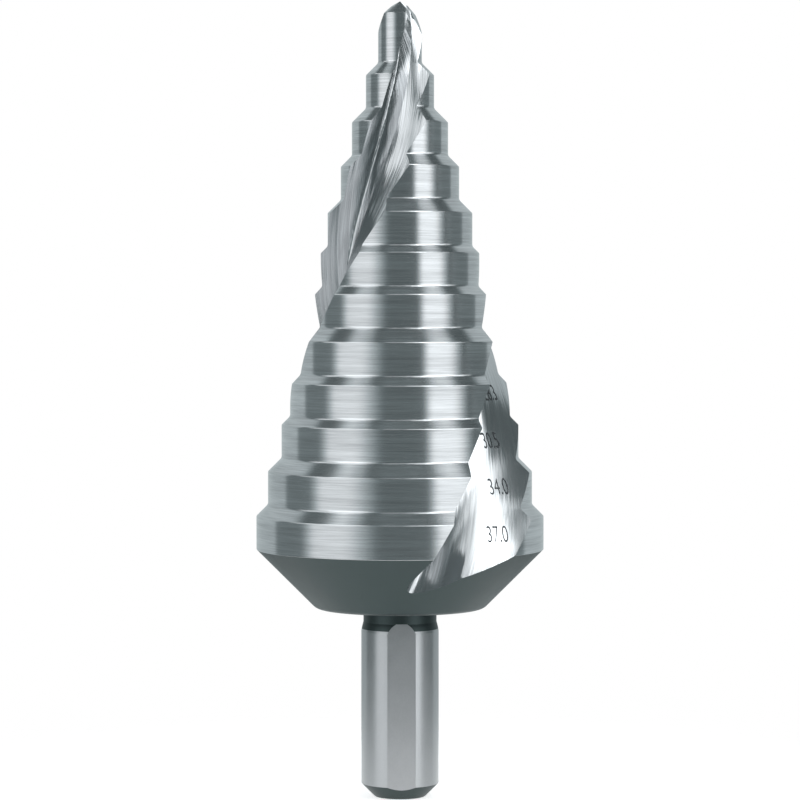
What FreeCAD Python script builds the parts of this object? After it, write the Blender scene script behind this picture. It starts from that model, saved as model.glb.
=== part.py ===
import FreeCAD, Part
import math
import os

from FreeCAD import Vector

# Step drill with two helical flutes, ground from one bar of high-speed steel.
# Lengths in millimetres, angles in degrees. The shank's end face stands on Z = 0 and the point looks up.
# A bearing is an angle round the axis: 0 is the front (-Y), and it grows towards +X.

# Steps, from the point down
LARGEST_DIAMETER = 37.0
STEP_DIAMETERS = (5.6, 8.75, 12.35, 15.2, 18.6, 20.4, 22.5, 26.0, 28.3, 30.5, 34.0, LARGEST_DIAMETER)
STEP_HEIGHT = 4.25
FIRST_STEP_HEIGHT = 6.25
SHOULDER_ANGLE = 45.0
POINT_ANGLE = 118.0

# Shank, neck and back of the head
SHANK_DIAMETER = 10.0
SHANK_LENGTH = 21.4
SHANK_CHAMFER = 1.7
NECK_DIAMETER = 9.44
NECK_TAPER_LENGTH = 1.2
CROWN = 0.04
NECK_LENGTH = 1.7
BACK_CONE_HEIGHT = 7.7
BACK_CONE_ANGLE = 45.0
BACK_RIM_RADIUS = 1.5
CHUCK_FLATS = 3
FLAT_BEARING = 2.5
FLAT_DISTANCE = 4.66
FLAT_END_ABOVE_TAPER = 0.05

# Flutes: each value is given at the largest step's lower edge and at the top of the first step
FLUTES = 2
FLUTE_BEARING = 23.4
FLUTE_LEAD_AT_BASE = 205.0
FLUTE_LEAD_AT_TIP = 81.0
RAKE_OFFSET_AT_BASE = 3.3
RAKE_OFFSET_AT_TIP = 0.1
FACE_DISTANCE_AT_BASE = 14.0
FACE_DISTANCE_AT_TIP = 0.8
FACE_TURN_AT_BASE = -13.0
FACE_TURN_AT_TIP = 10.5
CHANNEL_WIDTH_AT_BASE = 6.5
CHANNEL_WIDTH_AT_TIP = 1.25
CHANNEL_DEPTH_AT_BASE = 0.95
CHANNEL_DEPTH_AT_TIP = 0.55
CHANNEL_RISE_AT_BASE = 0.0
CHANNEL_RISE_AT_TIP = 0.16
CHANNEL_RADIUS_AT_BASE = 1.4
CHANNEL_RADIUS_AT_TIP = 0.08

# Split point: a flat ground on the heel of each land
GASH_BEARING = 74.7
GASH_LEAN = 26.6
GASH_DISTANCE = 0.6

# Grinding room outside the steel, and the number of sections along a flute
WHEEL_ROOM = 3.0
FLUTE_SECTIONS = 16

# Closer than this, two lengths count as the same
SAME_LENGTH = 1e-6

# Heights that follow from the sizes
neck_start = SHANK_LENGTH + NECK_TAPER_LENGTH
head_bottom = neck_start + NECK_LENGTH
steps_bottom = head_bottom + BACK_CONE_HEIGHT
largest_radius = LARGEST_DIAMETER / 2


def shoulder_height(lower, upper):
    return (lower - upper) / 2 / math.tan(math.radians(SHOULDER_ANGLE))


def step_corners():
    """Radius and height of every corner from the largest step's lower edge up to the point."""
    corners = []
    height = steps_bottom
    upwards = STEP_DIAMETERS[::-1]
    for index, diameter in enumerate(upwards):
        corners.append((diameter / 2, height))
        height += STEP_HEIGHT if index < len(upwards) - 1 else FIRST_STEP_HEIGHT
        corners.append((diameter / 2, height))
        if index < len(upwards) - 1:
            height += shoulder_height(diameter, upwards[index + 1])
    return corners


corners = step_corners()
tip_radius, first_step_top = corners[-1]
point_height = tip_radius / math.tan(math.radians(POINT_ANGLE / 2))
apex = first_step_top + point_height


def curve_through(start, corner, end):
    """A smooth curve that leaves its start and reaches its end along the lines to a corner between them."""
    curve = Part.BezierCurve()
    curve.setPoles([start, corner, end])
    return curve.toShape()


def gentle_curve(start, end):
    """A chamfer or taper that the tool leaves very slightly crowned."""
    middle = (start + end) / 2
    return curve_through(start, middle + Vector(CROWN, 0, 0), end)


def turned_blank():
    """The drill as it leaves the lathe: shank, neck, back cone, steps and point."""
    shank_radius = SHANK_DIAMETER / 2
    neck_radius = NECK_DIAMETER / 2
    rim_radius = largest_radius - BACK_CONE_HEIGHT * math.tan(math.radians(BACK_CONE_ANGLE))
    end_face = [Vector(0, 0, 0), Vector(shank_radius - SHANK_CHAMFER, 0, 0)]
    shank = [Vector(shank_radius, 0, SHANK_CHAMFER), Vector(shank_radius, 0, SHANK_LENGTH)]
    head = [Vector(neck_radius, 0, neck_start), Vector(neck_radius, 0, head_bottom)]
    head.append(Vector(rim_radius, 0, head_bottom))
    head += [Vector(radius, 0, height) for radius, height in corners]
    head.append(Vector(0, 0, apex))
    runs = [end_face, shank, head + end_face[:1]]
    edges = []
    for run in runs:
        edges += Part.makePolygon(run).Edges
    edges.append(gentle_curve(end_face[-1], shank[0]))
    edges.append(gentle_curve(shank[-1], head[0]))
    face = Part.Face(Part.Wire(Part.sortEdges(edges)[0]))
    blank = face.revolve(Vector(0, 0, 0), Vector(0, 0, 1), 360)
    return rounded_rim(blank, rim_radius)


def rounded_rim(blank, rim_radius):
    """Rounds the edge between the back cone and the flat underside of the head."""
    rims = []
    for edge in blank.Edges:
        circle = edge.Curve
        if not isinstance(circle, Part.Circle):
            continue
        same_height = abs(circle.Center.z - head_bottom) < SAME_LENGTH
        if same_height and abs(circle.Radius - rim_radius) < SAME_LENGTH:
            rims.append(edge)
    return blank.makeFillet(BACK_RIM_RADIUS, rims)


def at_bearing(shape, bearing):
    """Turns a shape that was drawn along +X to a bearing round the axis."""
    turned = shape.copy()
    turned.rotate(Vector(0, 0, 0), Vector(0, 0, 1), bearing - 90)
    return turned


def chuck_flats():
    """The blocks that the three flats on the shank leave, from its end to just above the taper."""
    depth = SHANK_DIAMETER / 2 - FLAT_DISTANCE + WHEEL_ROOM
    height = neck_start + FLAT_END_ABOVE_TAPER + WHEEL_ROOM
    block = Part.makeBox(depth, SHANK_DIAMETER, height, Vector(FLAT_DISTANCE, -SHANK_DIAMETER / 2, -WHEEL_ROOM))
    return [at_bearing(block, FLAT_BEARING + 360 / CHUCK_FLATS * count) for count in range(CHUCK_FLATS)]


def along_flute(height, at_base, at_tip):
    """A size at a height, growing evenly from its value at the base to its value at the tip."""
    share = (height - steps_bottom) / (first_step_top - steps_bottom)
    return at_base + (at_tip - at_base) * share


def flute_bearing(height):
    """Bearing of the rake face's radial line. Its turn per length grows with the square of the height."""
    rise = height - steps_bottom
    run = first_step_top - steps_bottom
    base_rate = 360 / FLUTE_LEAD_AT_BASE
    tip_rate = 360 / FLUTE_LEAD_AT_TIP
    return FLUTE_BEARING + base_rate * rise + (tip_rate - base_rate) * rise ** 3 / (3 * run ** 2)


def flute_section(height):
    """Cross-section of the space in one flute: rake face, channel at its foot, wide face, and the open outside."""
    rake_offset = along_flute(height, RAKE_OFFSET_AT_BASE, RAKE_OFFSET_AT_TIP)
    face_distance = along_flute(height, FACE_DISTANCE_AT_BASE, FACE_DISTANCE_AT_TIP)
    face_turn = along_flute(height, FACE_TURN_AT_BASE, FACE_TURN_AT_TIP)
    width = along_flute(height, CHANNEL_WIDTH_AT_BASE, CHANNEL_WIDTH_AT_TIP)
    depth = along_flute(height, CHANNEL_DEPTH_AT_BASE, CHANNEL_DEPTH_AT_TIP)
    rise = along_flute(height, CHANNEL_RISE_AT_BASE, CHANNEL_RISE_AT_TIP)
    radius = along_flute(height, CHANNEL_RADIUS_AT_BASE, CHANNEL_RADIUS_AT_TIP)
    reach = largest_radius + WHEEL_ROOM

    rake_angle = math.radians(-face_turn)
    up_rake = Vector(math.cos(rake_angle), math.sin(rake_angle), 0)
    behind = Vector(math.sin(rake_angle), -math.cos(rake_angle), 0)
    across = Vector(0, 1, 0)
    level = Vector(0, 0, height)

    rake_start = level + behind * rake_offset
    floor = face_distance - depth
    foot = rake_start + up_rake * ((floor - rake_start.x) / up_rake.x)
    run_in = radius / math.tan((math.pi / 2 - rake_angle) / 2)
    rake_end = foot + up_rake * run_in
    floor_start = foot + across * run_in
    ridge = Vector(face_distance, foot.y + width, height)
    floor_bend = Vector(floor + rise, (floor_start.y + ridge.y) / 2, height)

    rake_top = rake_start + up_rake * reach
    heel = Vector(face_distance, reach, height)
    outside = heel + up_rake * ((rake_top.x - heel.x) / up_rake.x)

    edges = [
        Part.makeLine(rake_top, rake_end),
        curve_through(rake_end, foot, floor_start),
        curve_through(floor_start, floor_bend, ridge),
        Part.makeLine(ridge, heel),
        Part.makeLine(heel, outside),
        Part.makeLine(outside, rake_top),
    ]
    return at_bearing(Part.Wire(edges), flute_bearing(height) + face_turn)


def flute_space():
    """The space that the wheel leaves in one flute, from under the head to above the point."""
    bottom = head_bottom - WHEEL_ROOM / 2
    top = apex + WHEEL_ROOM / 3
    spacing = (top - bottom) / (FLUTE_SECTIONS - 1)
    sections = [flute_section(bottom + spacing * count) for count in range(FLUTE_SECTIONS)]
    return Part.makeLoft(sections, True, False)


def gash():
    """The block over the flat that thins the web at the point."""
    size = largest_radius * 2
    block = Part.makeBox(size, size, size, Vector(0, -size / 2, -size / 2))
    block.rotate(Vector(0, 0, 0), Vector(0, 1, 0), -GASH_LEAN)
    block.translate(Vector(GASH_DISTANCE, 0, apex))
    return at_bearing(block, GASH_BEARING)


def step_drill():
    """The finished drill, one solid."""
    drill = turned_blank().cut(chuck_flats())
    flute = flute_space()
    gash_block = gash()
    spaces = []
    for count in range(FLUTES):
        for space in (flute, gash_block):
            turned = space.copy()
            turned.rotate(Vector(0, 0, 0), Vector(0, 0, 1), 360 / FLUTES * count)
            spaces.append(turned)
    for space in spaces:
        drill = drill.cut(space)
    return drill


os.makedirs("parts", exist_ok=True)
drill = step_drill()
print("solids", len(drill.Solids), "valid", drill.isValid(), "volume", round(drill.Volume, 1))
print("length", round(drill.BoundBox.ZLength, 2), "width", round(drill.BoundBox.XLength, 2))
drill.Solids[0].exportStep("parts/step_drill.step")
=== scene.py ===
import math

import bmesh
import bpy
from mathutils import Matrix, Vector

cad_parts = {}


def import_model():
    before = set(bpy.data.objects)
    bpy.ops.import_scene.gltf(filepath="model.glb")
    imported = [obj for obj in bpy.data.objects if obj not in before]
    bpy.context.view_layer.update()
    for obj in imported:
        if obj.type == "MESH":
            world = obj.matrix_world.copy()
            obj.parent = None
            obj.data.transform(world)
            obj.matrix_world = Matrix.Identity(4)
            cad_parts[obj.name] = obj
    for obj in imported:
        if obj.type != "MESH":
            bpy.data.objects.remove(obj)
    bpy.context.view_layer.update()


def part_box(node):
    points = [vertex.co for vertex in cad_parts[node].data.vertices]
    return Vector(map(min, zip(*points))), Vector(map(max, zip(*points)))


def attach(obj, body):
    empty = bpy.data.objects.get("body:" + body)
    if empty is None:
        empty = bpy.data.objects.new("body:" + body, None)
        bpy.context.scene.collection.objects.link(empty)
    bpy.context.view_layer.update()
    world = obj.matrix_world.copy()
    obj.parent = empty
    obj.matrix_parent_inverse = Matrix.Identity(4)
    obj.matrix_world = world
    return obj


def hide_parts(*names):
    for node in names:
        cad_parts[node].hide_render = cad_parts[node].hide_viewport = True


# A step drill in ground steel. Its sizes are in millimetres, and each mesh is brought to metres at the end.
# A bearing is an angle in degrees round the drill's axis: 0 is the front (-Y), and it grows towards +X.

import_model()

METRE = 0.001

# Sizes of the drill, as in the CAD node
lowest, highest = (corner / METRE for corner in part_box("step_drill"))
LARGEST_DIAMETER = round(highest.x - lowest.x, 1)
STEP_DIAMETERS = (5.6, 8.75, 12.35, 15.2, 18.6, 20.4, 22.5, 26.0, 28.3, 30.5, 34.0, LARGEST_DIAMETER)
STEP_HEIGHT = 4.25
FIRST_STEP_HEIGHT = 6.25
POINT_ANGLE = 118.0
SHANK_RADIUS = 5.0
SHANK_LENGTH = 21.4
SHANK_CHAMFER = 1.7
NECK_RADIUS = 4.72
NECK_TAPER_LENGTH = 1.2
NECK_LENGTH = 1.7
CROWN = 0.02
BACK_CONE_HEIGHT = 7.7
BACK_CONE_ANGLE = 45.0
BACK_RIM_RADIUS = 1.5
SHOULDER_ANGLE = 45.0
CHUCK_FLATS = 3
FLAT_BEARING = 2.5
FLAT_DISTANCE = 4.66
FLAT_END_ABOVE_TAPER = 0.05

# Flutes: the first value holds at the largest step's lower edge, the second at the top of the first step
FLUTE_BEARING = 23.4
FLUTE_LEAD = (205.0, 81.0)
RAKE_OFFSET = (3.3, 0.1)
FACE_DISTANCE = (14.0, 0.8)
FACE_TURN = (-13.0, 10.5)
CHANNEL_WIDTH = (6.5, 1.25)
CHANNEL_DEPTH = (0.95, 0.55)
CHANNEL_RISE = (0.0, 0.16)
CHANNEL_RADIUS = (1.4, 0.08)
GASH_BEARING = 74.7
GASH_LEAN = 26.6
GASH_DISTANCE = 0.6
WHEEL_ROOM = 3.0

# Size figures on one flute's wide face: what each says, its height, and its place across the face
FIGURES = (("37.0", 34.55, 8.9), ("34.0", 40.35, 7.5), ("30.5", 46.1, 5.5), ("28.3", 52.05, 5.6))

# Their size, their width as a share of the font's, their lean, and how far they are thinned and lifted
FIGURE_SIZE = 2.9
FIGURE_WIDTH = 0.58
FIGURE_LEAN = 0.5
FIGURE_THINNING = 0.02
FIGURE_LIFT = 0.025

# How far outer edges are broken, and how round the wheel leaves inner corners
EDGE_BREAK = 0.06
LOWEST_EDGE_BREAK = 0.03
CORNER_RADIUS = 0.7

# How far up its taper the shank is still bright
BRIGHT_TAPER = 0.3

# Fineness of the meshes
CORNER_FACES = 7
TAPER_FACES = 4
ROUND_FACES = 360
RIM_FACES = 20
FLUTE_SLICES = 200
CHANNEL_POINTS = 12
FOOT_POINTS = 8
FACE_POINTS = 8

# Above 1, the points of the wide face lie closer together at its ridge
FACE_SPACING = 1.4

# The bend from which an edge counts as sharp
CRISP_ANGLE = math.radians(38)

# Closer than these, points count as one and a point counts as on the axis
SAME_PLACE = 0.0001
SAME_FLUTE_PLACE = 0.00001
NEAR_AXIS = 0.01

# From here a face counts as level, and its normal as pointing straight away from the axis
LEVEL = 0.999
STRAIGHT_OUT = 0.9999

neck_start = SHANK_LENGTH + NECK_TAPER_LENGTH
head_bottom = neck_start + NECK_LENGTH
steps_bottom = head_bottom + BACK_CONE_HEIGHT
largest_radius = LARGEST_DIAMETER / 2
rim_radius = largest_radius - BACK_CONE_HEIGHT * math.tan(math.radians(BACK_CONE_ANGLE))


def step_corners():
    """Radius and height of each corner from the largest step's lower edge up to the point."""
    corners = []
    height = steps_bottom
    upwards = STEP_DIAMETERS[::-1]
    for diameter, smaller in zip(upwards, upwards[1:]):
        corners.append((diameter / 2, height))
        corners.append((diameter / 2, height + STEP_HEIGHT))
        height += STEP_HEIGHT + (diameter - smaller) / 2 / math.tan(math.radians(SHOULDER_ANGLE))
    corners.append((upwards[-1] / 2, height))
    corners.append((upwards[-1] / 2, height + FIRST_STEP_HEIGHT))
    return corners


corners = step_corners()
tip_radius, first_step_top = corners[-1]
apex = first_step_top + tip_radius / math.tan(math.radians(POINT_ANGLE / 2))


# Places of the drill's finishes in its list of materials
TURNED, SHANK, DARK, FLUTE, FLAT = range(5)


def curve_points(start, corner, end, count):
    """Points along a smooth curve that leaves its start and reaches its end towards a corner."""
    points = []
    for step in range(count + 1):
        t = step / count
        points.append(start * (1 - t) ** 2 + corner * (2 * t * (1 - t)) + end * t ** 2)
    return points


def eased(before, corner, after, length, faces):
    """A short curve in place of a sharp corner, so that it catches the light as the ground edge does."""
    here = Vector(corner)
    start = here + (Vector(before) - here).normalized() * length
    end = here + (Vector(after) - here).normalized() * length
    return [tuple(point) for point in curve_points(start, here, end, faces)]


def step_outline():
    """The stepped side: outer corners broken, inner corners rounded by the grinding wheel."""
    outline = []
    below = (rim_radius, head_bottom)
    inner = CORNER_RADIUS * math.tan(math.radians(SHOULDER_ANGLE / 2))
    for index, corner in enumerate(corners):
        above = corners[index + 1] if index + 1 < len(corners) else (0, apex)
        if index == 0:
            outline += eased(below, corner, above, LOWEST_EDGE_BREAK, 1)
        elif index % 2 == 1:
            outline += eased(below, corner, above, EDGE_BREAK, 1)
        else:
            outline += eased(below, corner, above, inner, CORNER_FACES)
        below = corner
    return outline


def rim_outline():
    """The rounded rim between the flat underside of the head and the back cone."""
    tangent = BACK_RIM_RADIUS * math.tan(math.radians(BACK_CONE_ANGLE / 2))
    centre = Vector((rim_radius - tangent, head_bottom + BACK_RIM_RADIUS))
    angles = [math.radians(-90 + BACK_CONE_ANGLE * count / RIM_FACES) for count in range(RIM_FACES + 1)]
    return [tuple(centre + Vector((math.cos(a), math.sin(a))) * BACK_RIM_RADIUS) for a in angles]


def crowned(start, end):
    """A chamfer or taper that is very slightly crowned. Its middle rises half as far as the bend."""
    bend = (Vector(start) + Vector(end)) / 2 + Vector((CROWN * 2, 0))
    return [tuple(point) for point in curve_points(Vector(start), bend, Vector(end), TAPER_FACES)]


def blank_outline():
    """Radius and height along the whole turned blank, from the middle of its end to its point."""
    outline = [(0, 0)]
    outline += crowned((SHANK_RADIUS - SHANK_CHAMFER, 0), (SHANK_RADIUS, SHANK_CHAMFER))
    outline += crowned((SHANK_RADIUS, SHANK_LENGTH), (NECK_RADIUS, neck_start))
    outline.append((NECK_RADIUS, head_bottom))
    outline += rim_outline()
    outline += step_outline()
    outline.append((0, apex))
    return outline


def finish_at(height):
    """Which finish a turned face has, by the height of its middle. The taper starts bright."""
    if height < SHANK_CHAMFER or SHANK_LENGTH + BRIGHT_TAPER < height < steps_bottom:
        return DARK
    return SHANK if height < steps_bottom else TURNED


def turned_blank():
    """The drill as it leaves the lathe."""
    mesh = bmesh.new()
    line = [mesh.verts.new((radius, 0, height)) for radius, height in blank_outline()]
    for start, end in zip(line, line[1:]):
        mesh.edges.new((start, end))
    full_turn = dict(cent=(0, 0, 0), axis=(0, 0, 1), angle=math.tau, steps=ROUND_FACES, use_merge=True)
    bmesh.ops.spin(mesh, geom=mesh.verts[:] + mesh.edges[:], **full_turn)
    bmesh.ops.remove_doubles(mesh, verts=mesh.verts, dist=SAME_PLACE)
    bmesh.ops.recalc_face_normals(mesh, faces=mesh.faces)
    for face in mesh.faces:
        face.material_index = finish_at(face.calc_center_median().z)
    return mesh


def turned_to(bearing):
    """The turn that brings what was drawn along +X to a bearing."""
    return Matrix.Rotation(math.radians(bearing - 90), 4, "Z")


def box_cutter(low, high):
    """A plain block between two corners."""
    mesh = bmesh.new()
    size = Vector(high) - Vector(low)
    place = Matrix.Translation((Vector(low) + Vector(high)) / 2) @ Matrix.Diagonal((*size, 1))
    bmesh.ops.create_cube(mesh, size=1, matrix=place)
    return mesh


def flat_cutter(bearing):
    """The block that one chuck flat leaves on the shank."""
    low = (FLAT_DISTANCE, -SHANK_RADIUS, -WHEEL_ROOM)
    high = (SHANK_RADIUS + WHEEL_ROOM, SHANK_RADIUS, neck_start + FLAT_END_ABOVE_TAPER)
    mesh = box_cutter(low, high)
    bmesh.ops.transform(mesh, matrix=turned_to(bearing), verts=mesh.verts)
    return mesh


def gash_cutter(bearing):
    """The block over the flat that thins the web at the point."""
    size = LARGEST_DIAMETER
    mesh = box_cutter((0, -size / 2, -size / 2), (size, size / 2, size / 2))
    lean = Matrix.Rotation(math.radians(-GASH_LEAN), 4, "Y")
    place = turned_to(bearing) @ Matrix.Translation((GASH_DISTANCE, 0, apex)) @ lean
    bmesh.ops.transform(mesh, matrix=place, verts=mesh.verts)
    return mesh


def along_flute(height, ends):
    """A size at a height, growing evenly from its value at the base to its value at the tip."""
    at_base, at_tip = ends
    return at_base + (at_tip - at_base) * (height - steps_bottom) / (first_step_top - steps_bottom)


def flute_bearing(height):
    """Bearing of the wide face's normal. The turn per length grows with the square of the height."""
    rise = height - steps_bottom
    run = first_step_top - steps_bottom
    base_rate, tip_rate = (360 / lead for lead in FLUTE_LEAD)
    turn = base_rate * rise + (tip_rate - base_rate) * rise ** 3 / (3 * run ** 2)
    return FLUTE_BEARING + turn + along_flute(height, FACE_TURN)


def flute_outline(height):
    """The closed outline of the space in one flute at a height, drawn along +X."""
    rake_offset = along_flute(height, RAKE_OFFSET)
    face_distance = along_flute(height, FACE_DISTANCE)
    radius = along_flute(height, CHANNEL_RADIUS)
    rake_angle = math.radians(-along_flute(height, FACE_TURN))
    reach = largest_radius + WHEEL_ROOM

    up_rake = Vector((math.cos(rake_angle), math.sin(rake_angle)))
    behind = Vector((math.sin(rake_angle), -math.cos(rake_angle)))
    across = Vector((0, 1))
    rake_start = behind * rake_offset
    floor = face_distance - along_flute(height, CHANNEL_DEPTH)
    foot = rake_start + up_rake * ((floor - rake_start.x) / up_rake.x)
    run_in = radius / math.tan((math.pi / 2 - rake_angle) / 2)
    rake_end = foot + up_rake * run_in
    floor_start = foot + across * run_in
    ridge = Vector((face_distance, foot.y + along_flute(height, CHANNEL_WIDTH)))
    floor_bend = Vector((floor + along_flute(height, CHANNEL_RISE), (floor_start.y + ridge.y) / 2))
    rake_top = rake_start + up_rake * reach
    heel = Vector((face_distance, reach))
    outside = heel + up_rake * ((rake_top.x - heel.x) / up_rake.x)

    outline = [rake_top] + curve_points(rake_end, foot, floor_start, FOOT_POINTS)
    outline += curve_points(floor_start, floor_bend, ridge, CHANNEL_POINTS)[1:]
    for count in range(1, FACE_POINTS + 1):
        outline.append(ridge.lerp(heel, (count / FACE_POINTS) ** FACE_SPACING))
    return outline + [outside]


def flute_cutter(bearing):
    """The space that the wheel leaves in one flute: one outline after another, from under the head up."""
    bottom = head_bottom - WHEEL_ROOM / 2
    top = apex + WHEEL_ROOM / 3
    columns = len(flute_outline(bottom))
    mesh = bmesh.new()
    bmesh.ops.create_grid(mesh, x_segments=columns, y_segments=FLUTE_SLICES, size=0.5)
    for vert in mesh.verts:
        height = bottom + (top - bottom) * (vert.co.y + 0.5)
        column = round((vert.co.x + 0.5) * columns) % columns
        place = flute_outline(height)[column].to_3d()
        place.z = height
        vert.co = turned_to(flute_bearing(height) + bearing) @ place
    bmesh.ops.remove_doubles(mesh, verts=mesh.verts, dist=SAME_FLUTE_PLACE)
    bmesh.ops.holes_fill(mesh, edges=mesh.edges)
    bmesh.ops.recalc_face_normals(mesh, faces=mesh.faces)
    return mesh


def finished_object(name, mesh, materials):
    """An object from a bmesh, with every finish in its list of materials."""
    data = bpy.data.meshes.new(name)
    mesh.to_mesh(data)
    mesh.free()
    for material in materials:
        data.materials.append(material)
    made = bpy.data.objects.new(name, data)
    bpy.context.scene.collection.objects.link(made)
    return made


def cutters(materials):
    """Every space that is cut from the blank, each with the finish that it leaves."""
    shapes = []
    for count in range(CHUCK_FLATS):
        shapes.append((flat_cutter(FLAT_BEARING + 360 / CHUCK_FLATS * count), FLAT))
    for half_turn in (0, 180):
        shapes.append((flute_cutter(half_turn), FLUTE))
        shapes.append((gash_cutter(GASH_BEARING + half_turn), FLUTE))
    made = []
    for mesh, finish in shapes:
        for face in mesh.faces:
            face.material_index = finish
        made.append(finished_object("cutter", mesh, materials))
    return made


def carve(blank, tools):
    """Cuts each space from the blank and leaves plain mesh."""
    for tool in tools:
        cut = blank.modifiers.new("cut", "BOOLEAN")
        cut.operation = "DIFFERENCE"
        cut.solver = "EXACT"
        cut.object = tool
    bpy.context.view_layer.update()
    evaluated = blank.evaluated_get(bpy.context.evaluated_depsgraph_get())
    carved = bpy.data.meshes.new_from_object(evaluated)
    blank.modifiers.clear()
    blank.data = carved
    for tool in tools:
        bpy.data.objects.remove(tool)


def in_flute(point):
    """A point's place in the flute that it lies in: across the flute, then height."""
    turned = turned_to(flute_bearing(point.z)).inverted() @ point
    side = 1 if turned.x > 0 else -1
    return side * (turned.y - turned.x), point.z


def round_normal(point, slope):
    """The normal of a turned surface at a point, for a surface whose normal rises by this slope."""
    flat = math.sqrt(max(0.0, 1 - slope * slope))
    outwards = point.xy.normalized() * flat
    return Vector((outwards.x, outwards.y, slope))


def crisp_edges(mesh):
    """Marks each real edge: where two finishes meet, and where the steel turns sharply."""
    work = bmesh.new()
    work.from_mesh(mesh)
    for face in work.faces:
        face.smooth = True
    for edge in work.edges:
        one_finish = len({face.material_index for face in edge.link_faces}) == 1
        edge.smooth = one_finish and edge.calc_face_angle(math.pi) < CRISP_ANGLE
    work.to_mesh(mesh)
    work.free()


def is_turned(face):
    """Whether a face belongs to the round turned sides, and not to a ground flat or a level end."""
    middle = face.center
    if face.material_index == FLAT or abs(face.normal.z) >= LEVEL or middle.xy.length <= NEAR_AXIS:
        return False
    return face.normal.xy.normalized().dot(middle.xy.normalized()) > STRAIGHT_OUT


def smooth(drill):
    """Smooth round the axis and along the flutes, crisp at every real edge."""
    mesh = drill.data
    crisp_edges(mesh)
    normals = [Vector(corner.vector) for corner in mesh.corner_normals]
    for face in mesh.polygons:
        if face.material_index == FLUTE:
            continue
        turned = is_turned(face)
        for loop in face.loop_indices:
            point = mesh.vertices[mesh.loops[loop].vertex_index].co
            if turned and point.xy.length > NEAR_AXIS:
                normals[loop] = round_normal(point, face.normal.z)
            else:
                normals[loop] = face.normal
    mesh.normals_split_custom_set(normals)


def lay_flute_map(drill):
    """A map over the flutes: across them in millimetres, and height in millimetres."""
    mesh = drill.data
    layer = mesh.uv_layers.new(name="flute")
    for loop in mesh.loops:
        point = mesh.vertices[loop.vertex_index].co
        layer.data[loop.index].uv = in_flute(point)


def size_figures():
    """The plain size of each wide step, marked thin and dark on the wide face of one flute."""
    marks = bmesh.new()
    for figure, height, across in FIGURES:
        words = bpy.data.curves.new("figure", "FONT")
        words.body = figure
        words.align_x = "CENTER"
        words.align_y = "CENTER"
        words.size = FIGURE_SIZE
        words.offset = -FIGURE_THINNING
        shape = bpy.data.objects.new("figure", words)
        bpy.context.scene.collection.objects.link(shape)
        bpy.context.view_layer.update()
        flat = bpy.data.meshes.new_from_object(shape)
        bpy.data.objects.remove(shape)
        old = len(marks.verts)
        marks.from_mesh(flat)
        marks.verts.ensure_lookup_table()
        for vert in marks.verts[old:]:
            up = vert.co.y
            side = across + vert.co.x * FIGURE_WIDTH - up * FIGURE_LEAN
            place = Vector((along_flute(height + up, FACE_DISTANCE) + FIGURE_LIFT, side, height + up))
            vert.co = turned_to(flute_bearing(height + up)) @ place
    return marks


def to_metres(piece):
    """Brings a mesh that was built in millimetres to metres."""
    piece.data.transform(Matrix.Diagonal((METRE, METRE, METRE, 1)))


def drill_piece(materials):
    """The whole drill as one mesh. It stands for the CAD node."""
    drill = finished_object("ground_drill", turned_blank(), materials)
    carve(drill, cutters(materials))
    lay_flute_map(drill)
    smooth(drill)
    to_metres(drill)
    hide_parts("step_drill")
    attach(drill, "root")


def figures_piece(material):
    """The size figures as one thin mesh on the flute's wide face."""
    marks = finished_object("size_figures", size_figures(), [material])
    to_metres(marks)
    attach(marks, "root")


# Marks on the steel: how often each noise repeats, for each metre along X, Y and Z
LINES_FINE = (140, 140, 5500)
LINES_BROAD = (50, 50, 1400)
GRAIN_FINE = (5000, 5000, 3500)
GRAIN_BROAD = (350, 350, 250)

# The same for the streaks: for each millimetre across the flute and up it
STREAKS_FINE = (9, 0.12, 1)
STREAKS_BROAD = (2.2, 0.05, 1)
STREAKS_WAVES = (0.5, 0.02, 1)
STREAKS_BROAD_SHARE = 0.32

# The streaks grow deeper between these two heights, from the first factor to the second
STREAKS_HEIGHTS = (36, 84)
STREAKS_DEPTHS = (0.45, 1.7)

# How far each kind of mark changes the roughness: below 0, its light parts are smoother
LINES_ROUGHNESS = -0.12
STREAKS_ROUGHNESS = -0.15
GRAIN_ROUGHNESS = 0.1

# How much each finer layer of a noise counts
NOISE_ROUGHNESS = 0.65

# How much the grooves round the axis spread a reflection, and the quarter turn that spreads it up and down
GROOVE_SPREAD = 0.8
GROOVE_TURN = 0.25

# What each group of marks takes and gives
MARKS_IN = (("Colour", "Color", (0.6, 0.6, 0.6, 1)), ("Strength", "Float", 0.3), ("Roughness", "Float", 0.3))
MARKS_OUT = (("Colour", "Color"), ("Roughness", "Float"), ("Height", "Float"))


def new_material(name):
    """A material with its shader, its nodes and its links."""
    material = bpy.data.materials.new(name)
    material.use_nodes = True
    return material, material.node_tree.nodes, material.node_tree.links


def new_group(name):
    """An empty node group for marks on steel, with its sockets."""
    group = bpy.data.node_groups.new(name, "ShaderNodeTree")
    for label, kind, value in MARKS_IN:
        socket = group.interface.new_socket(label, in_out="INPUT", socket_type="NodeSocket" + kind)
        socket.default_value = value
    for label, kind in MARKS_OUT:
        group.interface.new_socket(label, in_out="OUTPUT", socket_type="NodeSocket" + kind)
    start = group.nodes.new("NodeGroupInput")
    end = group.nodes.new("NodeGroupOutput")
    return group, group.nodes, group.links, start.outputs, end.inputs


def add_math(nodes, links, operation, first, second):
    """One step of arithmetic. Each of the two values is a number or a socket."""
    node = nodes.new("ShaderNodeMath")
    node.operation = operation
    for slot, value in enumerate((first, second)):
        if isinstance(value, (int, float)):
            node.inputs[slot].default_value = value
        else:
            links.new(value, node.inputs[slot])
    return node.outputs[0]


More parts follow.
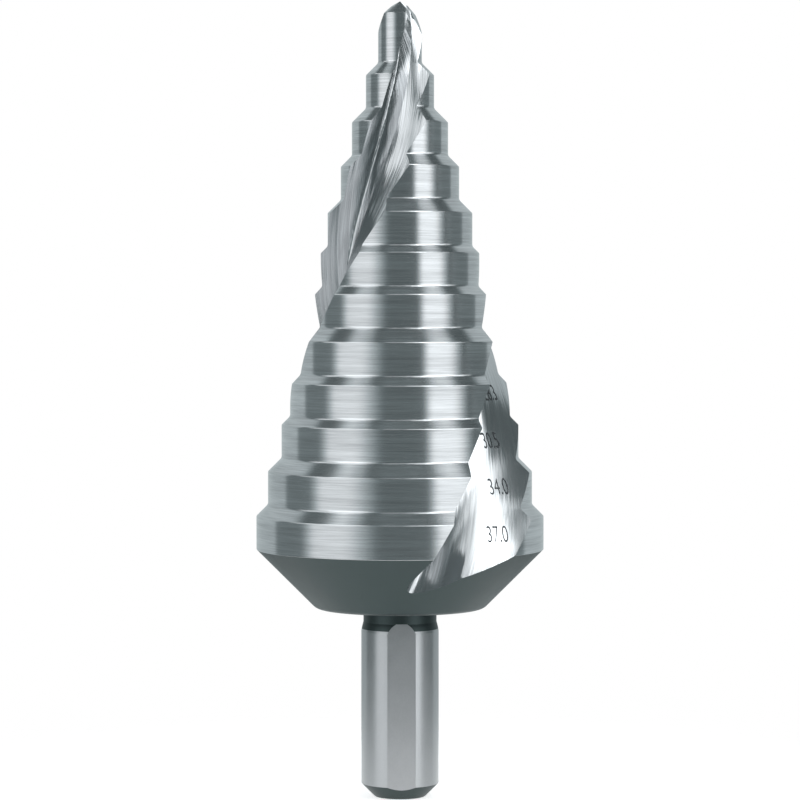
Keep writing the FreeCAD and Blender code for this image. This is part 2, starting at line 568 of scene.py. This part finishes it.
def add_noise(nodes, links, place, scale, detail):
    """Noise over a place that is stretched by a scale on each axis."""
    stretch = nodes.new("ShaderNodeMapping")
    stretch.inputs["Scale"].default_value = scale
    noise = nodes.new("ShaderNodeTexNoise")
    noise.inputs["Scale"].default_value = 1.0
    noise.inputs["Detail"].default_value = detail
    noise.inputs["Roughness"].default_value = NOISE_ROUGHNESS
    links.new(place, stretch.inputs["Vector"])
    links.new(stretch.outputs["Vector"], noise.inputs["Vector"])
    return noise.outputs["Fac"]


def shaded(nodes, links, colour, amount):
    """A colour made lighter or darker by a factor."""
    scale = nodes.new("ShaderNodeVectorMath")
    scale.operation = "SCALE"
    links.new(colour, scale.inputs[0])
    links.new(amount, scale.inputs["Scale"])
    return scale.outputs["Vector"]


def mottle(nodes, links, start, end, fine, broad, roughness_change):
    """Two noises together vary a group's colour and roughness. Gives back their sum."""
    both = add_math(nodes, links, "ADD", fine, broad)
    swing = add_math(nodes, links, "SUBTRACT", both, 1.0)
    change = add_math(nodes, links, "MULTIPLY", swing, start["Strength"])
    amount = add_math(nodes, links, "ADD", change, 1.0)
    links.new(shaded(nodes, links, start["Colour"], amount), end["Colour"])
    rougher = add_math(nodes, links, "MULTIPLY", swing, roughness_change)
    links.new(add_math(nodes, links, "ADD", start["Roughness"], rougher), end["Roughness"])
    return both


def turning_lines_group():
    """Fine lines round the axis that the grinding wheel leaves, and broader soft bands between them."""
    group, nodes, links, start, end = new_group("turning_lines")
    here = nodes.new("ShaderNodeTexCoord").outputs["Object"]
    fine = add_noise(nodes, links, here, LINES_FINE, 3)
    broad = add_noise(nodes, links, here, LINES_BROAD, 2)
    both = mottle(nodes, links, start, end, fine, broad, LINES_ROUGHNESS)
    links.new(both, end["Height"])
    return group


def flute_streaks_group():
    """Streaks that the wheel leaves along a flute. Its map runs across the flute, then up it."""
    group, nodes, links, start, end = new_group("flute_streaks")
    place = nodes.new("ShaderNodeUVMap")
    place.uv_map = "flute"
    fine = add_noise(nodes, links, place.outputs["UV"], STREAKS_FINE, 2)
    broad = add_noise(nodes, links, place.outputs["UV"], STREAKS_BROAD, 2)
    waves = add_noise(nodes, links, place.outputs["UV"], STREAKS_WAVES, 1)
    mottle(nodes, links, start, end, fine, broad, STREAKS_ROUGHNESS)
    height = nodes.new("ShaderNodeSeparateXYZ")
    links.new(place.outputs["UV"], height.inputs[0])
    growth = nodes.new("ShaderNodeMapRange")
    growth.inputs["From Min"].default_value, growth.inputs["From Max"].default_value = STREAKS_HEIGHTS
    growth.inputs["To Min"].default_value, growth.inputs["To Max"].default_value = STREAKS_DEPTHS
    links.new(height.outputs["Y"], growth.inputs["Value"])
    shallow = add_math(nodes, links, "MULTIPLY", broad, STREAKS_BROAD_SHARE)
    grooves = add_math(nodes, links, "ADD", waves, shallow)
    links.new(add_math(nodes, links, "MULTIPLY", grooves, growth.outputs["Result"]), end["Height"])
    return group


def satin_grain_group():
    """The fine even grain of steel that is left as it was hardened or lightly blasted."""
    group, nodes, links, start, end = new_group("satin_grain")
    here = nodes.new("ShaderNodeTexCoord").outputs["Object"]
    fine = add_noise(nodes, links, here, GRAIN_FINE, 2)
    broad = add_noise(nodes, links, here, GRAIN_BROAD, 3)
    mottle(nodes, links, start, end, fine, broad, GRAIN_ROUGHNESS)
    links.new(fine, end["Height"])
    return group


def steel(name, marks_group, colour, strength, roughness, relief):
    """A bare metal with marks, which vary its colour by their strength and stand out by their relief."""
    material, nodes, links = new_material(name)
    shader = nodes["Principled BSDF"]
    shader.inputs["Metallic"].default_value = 1.0
    marks = nodes.new("ShaderNodeGroup")
    marks.node_tree = marks_group
    marks.inputs["Colour"].default_value = (*colour, 1)
    marks.inputs["Strength"].default_value = strength
    marks.inputs["Roughness"].default_value = roughness
    bump = nodes.new("ShaderNodeBump")
    bump.inputs["Strength"].default_value = 1.0
    bump.inputs["Distance"].default_value = relief * METRE
    links.new(marks.outputs["Colour"], shader.inputs["Base Color"])
    links.new(marks.outputs["Roughness"], shader.inputs["Roughness"])
    links.new(marks.outputs["Height"], bump.inputs["Height"])
    links.new(bump.outputs["Normal"], shader.inputs["Normal"])
    return material


def round_grooves(material):
    """Grooves round the axis, which spread reflections up and down."""
    nodes, links = material.node_tree.nodes, material.node_tree.links
    shader = nodes["Principled BSDF"]
    direction = nodes.new("ShaderNodeTangent")
    direction.direction_type = "RADIAL"
    direction.axis = "Z"
    links.new(direction.outputs["Tangent"], shader.inputs["Tangent"])
    shader.inputs["Anisotropic"].default_value = GROOVE_SPREAD
    shader.inputs["Anisotropic Rotation"].default_value = GROOVE_TURN


def finishes():
    """The five finishes of the drill in the order of its list, and then that of its size figures."""
    lines, streaks, grain = turning_lines_group(), flute_streaks_group(), satin_grain_group()
    # Each look: name, marks, colour, strength of the marks, roughness, and relief in millimetres
    looks = (
        ("turned_steel", lines, (0.59, 0.6, 0.61), 0.65, 0.2, 0.0008),
        ("shank_steel", grain, (0.43, 0.44, 0.45), 0.12, 0.33, 0.0006),
        ("dark_steel", grain, (0.062, 0.08, 0.08), 0.15, 0.42, 0.001),
        ("flute_steel", streaks, (0.6, 0.61, 0.62), 0.65, 0.15, 0.1),
        ("flat_steel", grain, (0.46, 0.465, 0.475), 0.16, 0.42, 0.0008),
        ("figure_mark", grain, (0.09, 0.095, 0.1), 0.5, 0.5, 0.001),
    )
    made = [steel(*look) for look in looks]
    round_grooves(made[TURNED])
    round_grooves(made[SHANK])
    return made


# Studio: a light tent round the drill. A direction is a bearing and an angle above the horizon, in degrees.
TENT_RADIUS = 1.5
TENT_FACES = 180
DIM_TINT = (0.78, 0.97, 1.0)
BRIGHT_TINT = (0.96, 1.0, 1.02)
TENT_DIM = 0.15

# Each panel: bearings from and to, the softness of each, angles from and to, their softness, brightness
TENT_PANELS = (
    (117, 243, 4, 4, -25, 45, 6, 0.42),
    (130, 230, 8, 8, 20, 46, 10, 0.06),
    (80, 117, 6, 4, -25, 20, 10, 0.1),
    (243, 280, 4, 6, -25, 20, 10, 0.1),
    (282, 329, 16, 34, -25, 46, 8, 0.88),
    (292, 330, 10, 20, 14, 40, 8, 0.8),
    (262, 312, 12, 16, 47, 66, 4, 1.0),
    (253, 282, 8, 10, 27, 42, 8, 1.1),
    (-28, 28, 10, 10, -25, 14, 8, 0.05),
    (-20, 24, 8, 6, 44, 52, 4, 1.1),
    (8, 30, 6, 6, 38, 46, 5, 0.9),
    (29, 67, 12, 22, -25, 41, 6, 1.13),
    (30, 60, 10, 16, 8, 41, 6, 0.6),
    (29, 62, 8, 8, 38, 47.5, 4, 1.8),
    (29, 49, 6, 6, 44, 52, 3, 2.0),
    (20, 41, 6, 6, 46, 56, 3, 2.2),
    (56, 81, 8, 6, 20, 38, 6, 1.5),
    (74, 90, 8, 6, 16, 29, 5, 0.9),
    (52, 95, 10, 14, 54, 67, 6, 1.0),
    (78, 134, 16, 16, 60, 74, 6, 0.68),
    (226, 282, 16, 16, 60, 74, 6, 0.48),
    (0, 360, 0.1, 0.1, 78, 90, 8, 0.1),
    (0, 360, 0.1, 0.1, -90, -25, 10, 0.12),
)


def eased_step(value, edge, softness):
    """Rises softly from 0 to 1 across an edge."""
    share = min(max((value - edge) / softness + 0.5, 0), 1)
    return share * share * (3 - 2 * share)


def window(value, low, high, softness_low, softness_high):
    """1 between two soft edges and 0 outside them."""
    return eased_step(value, low, softness_low) * (1 - eased_step(value, high, softness_high))


def tent_light(direction):
    """How bright the tent is in a direction."""
    bearing = math.degrees(math.atan2(direction.x, -direction.y)) % 360
    angle = math.degrees(math.asin(max(-1, min(1, direction.z))))
    light = TENT_DIM
    for start, end, soft_start, soft_end, low, high, softness, brightness in TENT_PANELS:
        middle = (start + end) / 2
        here = (bearing - middle + 180) % 360 - 180 + middle
        across = window(here, start, end, soft_start, soft_end) if end - start < 360 else 1
        light += brightness * across * window(angle, low, high, softness, softness)
    return light


def tinted(brightness):
    """The light's colour: a little cooler where it is dim."""
    share = min(brightness, 1)
    tint = [dim + (bright - dim) * share for dim, bright in zip(DIM_TINT, BRIGHT_TINT)]
    return (*(brightness * part for part in tint), 1)


def stage_piece(name, mesh, material):
    """A piece of the studio, which is no part of the drill."""
    piece = finished_object(name, mesh, [material])
    return piece


def tent():
    """The light tent: a round shell that glows more or less in each direction. The camera doesn't see it."""
    mesh = bmesh.new()
    rings = TENT_FACES // 2
    bmesh.ops.create_uvsphere(mesh, u_segments=TENT_FACES, v_segments=rings, radius=TENT_RADIUS)
    layer = mesh.verts.layers.float_color.new("glow")
    for vert in mesh.verts:
        vert[layer] = tinted(tent_light(vert.co.normalized()))
    bmesh.ops.reverse_faces(mesh, faces=mesh.faces)
    material, nodes, links = new_material("tent_cloth")
    nodes.remove(nodes["Principled BSDF"])
    glow = nodes.new("ShaderNodeAttribute")
    glow.attribute_name = "glow"
    emission = nodes.new("ShaderNodeEmission")
    links.new(glow.outputs["Color"], emission.inputs["Color"])
    links.new(emission.outputs["Emission"], nodes["Material Output"].inputs["Surface"])
    material.cycles.emission_sampling = "NONE"
    stage_piece("tent", mesh, material).visible_camera = False


# The floor, in metres: its radius, where it starts to fade, and how far it lies under the drill
FLOOR_RADIUS = 0.08
FLOOR_FADE = 0.03
FLOOR_GAP = 0.0001

# How pale the floor is, and how much it is lifted towards white where it is seen or mirrored
FLOOR_SHADE = 0.85
FLOOR_LIFT = 0.7


def floor():
    """A pale floor that keeps the drill's shadow and fades into the white round it."""
    mesh = bmesh.new()
    place = Matrix.Translation((0, 0, -FLOOR_GAP))
    bmesh.ops.create_circle(mesh, cap_ends=True, segments=TENT_FACES, radius=FLOOR_RADIUS, matrix=place)
    material, nodes, links = new_material("pale_floor")
    shader = nodes["Principled BSDF"]
    shader.inputs["Base Color"].default_value = (FLOOR_SHADE, FLOOR_SHADE, FLOOR_SHADE, 1)
    shader.inputs["Roughness"].default_value = 1.0
    shader.inputs["Specular IOR Level"].default_value = 0.0
    path = nodes.new("ShaderNodeLightPath").outputs
    seen = add_math(nodes, links, "MAXIMUM", path["Is Camera Ray"], path["Is Glossy Ray"])
    seen = add_math(nodes, links, "MAXIMUM", seen, path["Is Transmission Ray"])
    shader.inputs["Emission Color"].default_value = (1, 1, 1, 1)
    links.new(add_math(nodes, links, "MULTIPLY", seen, FLOOR_LIFT), shader.inputs["Emission Strength"])
    distance = nodes.new("ShaderNodeVectorMath")
    distance.operation = "LENGTH"
    fade = nodes.new("ShaderNodeMapRange")
    fade.interpolation_type = "SMOOTHSTEP"
    fade.inputs["From Min"].default_value = FLOOR_RADIUS
    fade.inputs["From Max"].default_value = FLOOR_FADE
    links.new(nodes.new("ShaderNodeTexCoord").outputs["Object"], distance.inputs[0])
    links.new(distance.outputs["Value"], fade.inputs["Value"])
    links.new(fade.outputs["Result"], shader.inputs["Alpha"])
    stage_piece("floor", mesh, material)


def world():
    """The plain white behind everything."""
    sky = bpy.data.worlds.new("white")
    sky.use_nodes = True
    sky.node_tree.nodes["Background"].inputs["Color"].default_value = (1, 1, 1, 1)
    bpy.context.scene.world = sky


# Camera: its place, its aim and how near it sees in metres, and its lens and sensor in millimetres
CAMERA_DISTANCE = 0.39733
CAMERA_HEIGHT = 0.064103
AIM_HEIGHT = 0.051164
LENS = 138.82
SENSOR = 36.0
NEAREST = 0.01


def camera():
    """The camera in front of the drill, at the photo's angle."""
    data = bpy.data.cameras.new("camera")
    data.lens = LENS
    data.sensor_width = SENSOR
    data.clip_start = NEAREST
    eye = bpy.data.objects.new("camera", data)
    bpy.context.scene.collection.objects.link(eye)
    eye.location = (0, -CAMERA_DISTANCE, CAMERA_HEIGHT)
    aim = Vector((0, 0, AIM_HEIGHT)) - eye.location
    eye.rotation_euler = aim.to_track_quat("-Z", "Y").to_euler()
    bpy.context.scene.camera = eye


camera()
world()
floor()
tent()
*drill_finishes, figure_mark = finishes()
drill_piece(drill_finishes)
figures_piece(figure_mark)

bpy.context.scene.view_settings.view_transform = "Standard"
